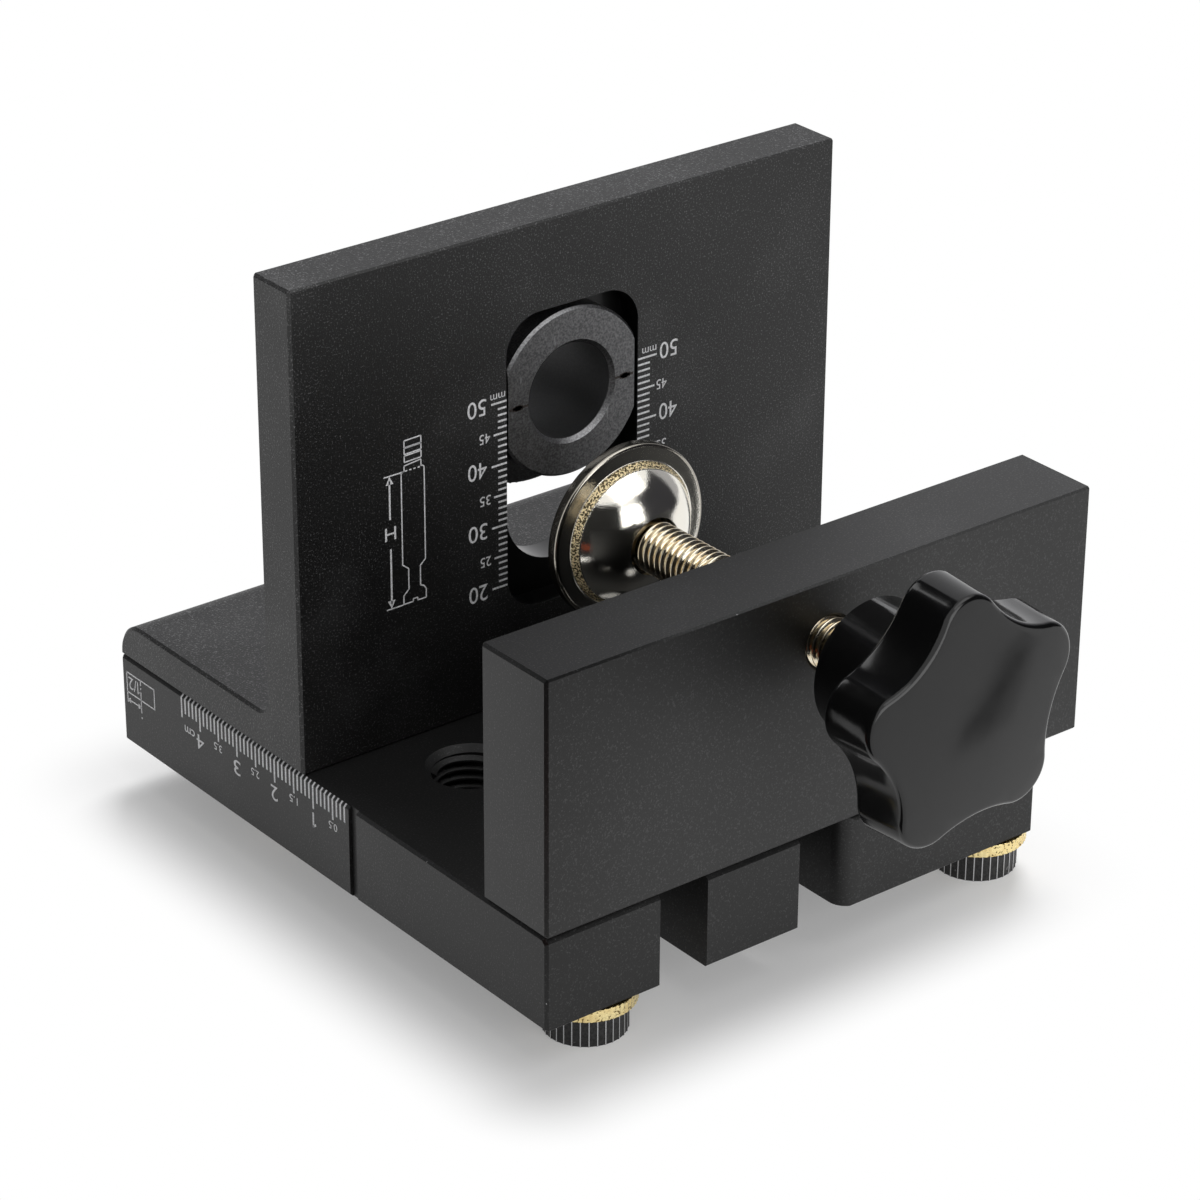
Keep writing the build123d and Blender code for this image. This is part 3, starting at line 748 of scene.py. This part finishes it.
# Towards the outer rim the plating is darkened to a dark brown: painted shade that dims the rolled
# rim's reflection to a thin line.
rim_painted_dark = between(chrome, pad_spread, 13.2 * MM, 13.5 * MM, 0.0, 0.75)
plating_and_rim_shade = blend_colour(chrome, rim_painted_dark, (0.87, 0.84, 0.76, 1), (0.2, 0.18, 0.15, 1))
drive(chrome, "Base Color", blend_colour(chrome, drawn_ring, plating_and_rim_shade, gilt))
rough = math_of(chrome, "MULTIPLY", drawn_ring, 0.22)
haze = between(chrome, noise(chrome, 0.3, 3.0), 0.3, 0.8, 0.09, 0.16)
drive(chrome, "Roughness", math_of(chrome, "ADD", rough, haze))
ring_height = math_of(chrome, "MULTIPLY", math_of(chrome, "MULTIPLY", pits, drawn_ring), 9.0)
height = math_of(chrome, "ADD", ring_height, math_of(chrome, "MULTIPLY", pits, 0.35))
ripple = noise(chrome, 0.3, 1.0)
height = math_of(chrome, "ADD", height, math_of(chrome, "MULTIPLY", ripple, 0.7))
bump(chrome, height, 0.05, 0.8)


def dome_y(sphere, radius):
    """Where a sphere about the dome's centre lies at one radius from the spindle's axis."""
    return DOME_CENTRE - math.sqrt(sphere**2 - radius**2)


def dome_arc(sphere, start, end, steps):
    """Points of an outline along the dome, from one radius to another."""
    radii = [start + (end - start) * i / steps for i in range(steps + 1)]
    return [(radius, dome_y(sphere, radius)) for radius in radii]


shell_outline = dome_arc(DOME_SPHERE, DOME_HOLE, DOME_RADIUS, 16)
shell_outline += [(11.05, -1.72), (11.2, -1.5), (11.4, -1.4), (11.6, -1.38), (12.4, -1.34)]
shell_outline += [(13.3, -1.3), (13.6, -1.25), (13.78, -1.12), (13.87, -0.95)]
shell_outline += [(PAD_RADIUS, -0.75), (PAD_RADIUS, 0.45), (13.75, 0.6), (13.1, 0.6)]
shell_outline += [(13.1, -0.1), *dome_arc(DOME_SPHERE - PAD_WALL, INNER_RADIUS, DOME_HOLE, 10)]
shell = revolve(shell_outline, 128, closed=True)
bmesh.ops.recalc_face_normals(shell, faces=shell.faces)
shell_piece = object_from(shell, "chromed_pad_shell", chrome, "pad", 40)
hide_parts("pad_shell")

zinc = new_material("zinc_plated_steel", Metallic=1.0, Base_Color=(0.62, 0.6, 0.55, 1))
lines = noise(zinc, 1.5, 3.0, (1, 1, 0.12))
drive(zinc, "Roughness", between(zinc, lines, 0.2, 0.8, 0.22, 0.42))
bump(zinc, lines, 0.01, 0.4)
dress("pad_plate", zinc)
dress("thrust_washer", zinc)

# ---------------------------------------------------------------------------------------------
# Star knob: moulded from glossy black plastic around a threaded brass insert, with five lobes
# and a hub that stands off from the jaw.
# ---------------------------------------------------------------------------------------------
plastic = new_material("moulded_black_plastic", Specular_IOR_Level=0.42)
drive(plastic, "Base Color", blend_colour(plastic, noise(plastic, 0.1), grey(0.002), grey(0.005)))
haze = noise(plastic, 0.25, 5.0)
drive(plastic, "Roughness", between(plastic, haze, 0.3, 0.8, 0.11, 0.17))
bump(plastic, noise(plastic, 0.07, 1.0), 0.05, 0.5)

knob = bmesh.new()
knob.from_mesh(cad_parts["star_knob"].data)
bmesh.ops.remove_doubles(knob, verts=knob.verts, dist=1e-6)
# A point in the middle of the crowned face would show as a dark dot.
axis_end = Vector((0, min(vert.co.y for vert in knob.verts), SPINDLE_Z * MM))
pole = min(knob.verts, key=lambda vert: (vert.co - axis_end).length)
bmesh.ops.dissolve_verts(knob, verts=[pole])
bmesh.ops.triangulate(knob, faces=[face for face in knob.faces if len(face.verts) > 4])
knob_piece = object_from(knob, "polished_knob", plastic, "screw", 25)
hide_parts("star_knob")
dress("knob_insert", brass)

# ---------------------------------------------------------------------------------------------
# Studio: a white floor that keeps the jig's shadow, soft lamps, the photograph's camera, and
# cards that only reflections show. Far ones repeat what stood round the real jig; near ones
# and sheets on the floor paint shade and reflections into the pad and the knob.
# ---------------------------------------------------------------------------------------------
FLOOR_Z = cad_box[0].z
FLOOR_SIZE = 4.0
SHADOW_MIDDLE = (-0.004, 0.008, FLOOR_Z)
SHADOW_HALF = (0.046, 0.054, 0)
SHADOW_RIM = 0.019
SHADOW_GLOW = 0.25


def seen_directly(owner):
    """1 for rays from the camera and for reflected and refracted ones, and 0 for light."""
    path = add_node(owner, "LightPath").outputs
    either = math_of(owner, "MAXIMUM", path["Is Camera Ray"], path["Is Glossy Ray"])
    return math_of(owner, "MAXIMUM", either, path["Is Transmission Ray"])


floor_material = new_material("studio_floor", Base_Color=(0.88, 0.88, 0.88, 1), Roughness=0.6)
glow = add_node(floor_material, "Emission", [("Color", (1, 1, 1, 1)), ("Strength", 1.0)])
outside = place(floor_material)
for operation, value in (
    ("SUBTRACT", SHADOW_MIDDLE),
    ("ABSOLUTE", (0, 0, 0)),
    ("SUBTRACT", SHADOW_HALF),
    ("MAXIMUM", (0, 0, 0)),
):
    step = add_node(floor_material, "VectorMath", [(0, outside), (1, value)], operation=operation)
    outside = step.outputs[0]
from_jig = add_node(floor_material, "VectorMath", [(0, outside)], operation="LENGTH")
from_jig = from_jig.outputs["Value"]
clear_of_jig = between(floor_material, from_jig, 0.0, SHADOW_RIM, SHADOW_GLOW, 1.0)
share = math_of(floor_material, "MULTIPLY", seen_directly(floor_material), clear_of_jig)
surfaces = [(0, share), (1, shader_of(floor_material).outputs[0]), (2, glow.outputs[0])]
mix = add_node(floor_material, "MixShader", surfaces)
output = floor_material.node_tree.nodes["Material Output"]
floor_material.node_tree.links.new(mix.outputs[0], output.inputs["Surface"])


def stage_piece(bm, name, material):
    """The floor or a card of the studio, which isn't part of the jig."""
    mesh = bpy.data.meshes.new(name)
    bm.to_mesh(mesh)
    bm.free()
    mesh.materials.append(material)
    piece = bpy.data.objects.new(name, mesh)
    bpy.context.scene.collection.objects.link(piece)
    return piece


floor_bm = bmesh.new()
bmesh.ops.create_grid(floor_bm, x_segments=1, y_segments=1, size=FLOOR_SIZE)
bmesh.ops.translate(floor_bm, vec=(0, 0, FLOOR_Z), verts=floor_bm.verts)
stage_piece(floor_bm, "floor", floor_material)


def reflected_piece(bm, name, colour):
    """A glowing or dark sheet that only reflections show."""
    finish = bpy.data.materials.new(name)
    finish.use_nodes = True
    emission = add_node(finish, "Emission", [("Color", (*colour, 1)), ("Strength", 1.0)])
    surface = finish.node_tree.nodes["Material Output"].inputs["Surface"]
    finish.node_tree.links.new(emission.outputs[0], surface)
    piece = stage_piece(bm, name, finish)
    piece.visible_camera = False
    piece.visible_diffuse = False
    piece.visible_transmission = False
    piece.visible_shadow = False


def card(name, bearings, heights, colour, distance=1.7):
    """A card on a sphere round the jig, seen only in reflections. Bearings run from the rear."""
    bm = bmesh.new()
    bmesh.ops.create_grid(bm, x_segments=14, y_segments=8, size=0.5)
    for vert in bm.verts:
        bearing = math.radians(bearings[0] + (vert.co.x + 0.5) * (bearings[1] - bearings[0]))
        height = math.radians(heights[0] + (vert.co.y + 0.5) * (heights[1] - heights[0]))
        level = math.cos(height)
        vert.co = Vector((level * math.sin(bearing), level * math.cos(bearing), math.sin(height)))
        vert.co *= distance
    reflected_piece(bm, name, colour)


card("card_right_front", (97, 163), (-1, 42), (0.04, 0.04, 0.045))
card("card_right", (80, 97), (-1, 42), (0.4, 0.4, 0.42))
# Two cards close to the jig, seen only in reflections: a dark one paints shade into the pad's lower
# left where the floor would show, and an orange one paints an orange reflection there.
card("card_left_painted_shade", (-164, -105), (-9, 62), (0.02, 0.02, 0.02), 0.1)
card("card_left_painted_glow", (-150, -112), (10, 18), (0.17, 0.04, 0.02), 0.098)
card("card_rear", (-70, 12), (8, 74), (0.04, 0.04, 0.045))
card("card_behind", (-31, -3), (37, 56), (2.6, 2.6, 2.6), 1.6)
card("card_right_rear", (12, 80), (2, 62), (0.93, 0.93, 0.95))

# Grey sheets just above the floor, seen only in reflections: a painted reflection of the soft dark
# band that slants over the knob's face.
for number, (spread, level, lift) in enumerate(((15, 0.7, 1), (10, 0.45, 1.5), (5, 0.25, 2))):
    band = bmesh.new()
    near, far = -150 + spread, -168 - spread
    corners = ((61 - spread, near), (61 + spread, near), (127 + spread, far), (127 - spread, far))
    corners = [Vector((x, y, lift)) * MM + Vector((0, 0, FLOOR_Z)) for x, y in corners]
    band.faces.new([band.verts.new(corner) for corner in corners])
    reflected_piece(band, "painted_reflection_band_" + str(number), (level, level, level))

WORLD_LIGHT = 0.3
world = bpy.data.worlds.new("studio")
bpy.context.scene.world = world
world.use_nodes = True
backdrop = world.node_tree.nodes["Background"]
backdrop.inputs["Color"].default_value = (1, 1, 1, 1)
strength = between(world, seen_directly(world), 0.0, 1.0, WORLD_LIGHT, 1.0)
world.node_tree.links.new(strength, backdrop.inputs["Strength"])


def soft_light(name, place_m, aim_m, width, height, watts, reflected=True):
    """A rectangular lamp, out of the camera's sight."""
    lamp = bpy.data.lights.new(name, "AREA")
    lamp.shape = "RECTANGLE"
    lamp.size, lamp.size_y = width, height
    lamp.energy = watts
    light = bpy.data.objects.new(name, lamp)
    light.location = place_m
    light.rotation_euler = (Vector(aim_m) - Vector(place_m)).to_track_quat("-Z", "Y").to_euler()
    light.visible_camera = False
    light.visible_glossy = reflected
    bpy.context.scene.collection.objects.link(light)


JIG_MIDDLE = (0, 0, 0.045)
soft_light("window_in_front", (0, -1.13, 0.39), JIG_MIDDLE, 0.8, 0.75, 4)
soft_light("softbox_above", (0.2, -0.56, 1.04), JIG_MIDDLE, 1.0, 0.6, 2.5)
soft_light("lamp_right_rear", (0.67, 0.56, 0.97), JIG_MIDDLE, 0.6, 0.6, 14, reflected=False)

PHOTO_PIXELS = 1200
FOCAL_PIXELS = 4185.47
SENSOR_MM = 36
CAMERA_PLACE = (-0.348662, -0.435131, 0.312761)
CAMERA_HEADING = -0.66909
CAMERA_DOWN = 0.464258
CAMERA_ROLL = 0.0052

camera_data = bpy.data.cameras.new("camera")
camera_data.sensor_width = SENSOR_MM
camera_data.lens = FOCAL_PIXELS * SENSOR_MM / PHOTO_PIXELS
camera = bpy.data.objects.new("camera", camera_data)
heading = Matrix.Rotation(CAMERA_HEADING, 4, "Z")
look_down = Matrix.Rotation(math.pi / 2 - CAMERA_DOWN, 4, "X")
roll = Matrix.Rotation(CAMERA_ROLL, 4, "Z")
camera.matrix_world = Matrix.Translation(CAMERA_PLACE) @ heading @ look_down @ roll
bpy.context.scene.collection.objects.link(camera)
bpy.context.scene.camera = camera
bpy.context.scene.view_settings.view_transform = "Standard"
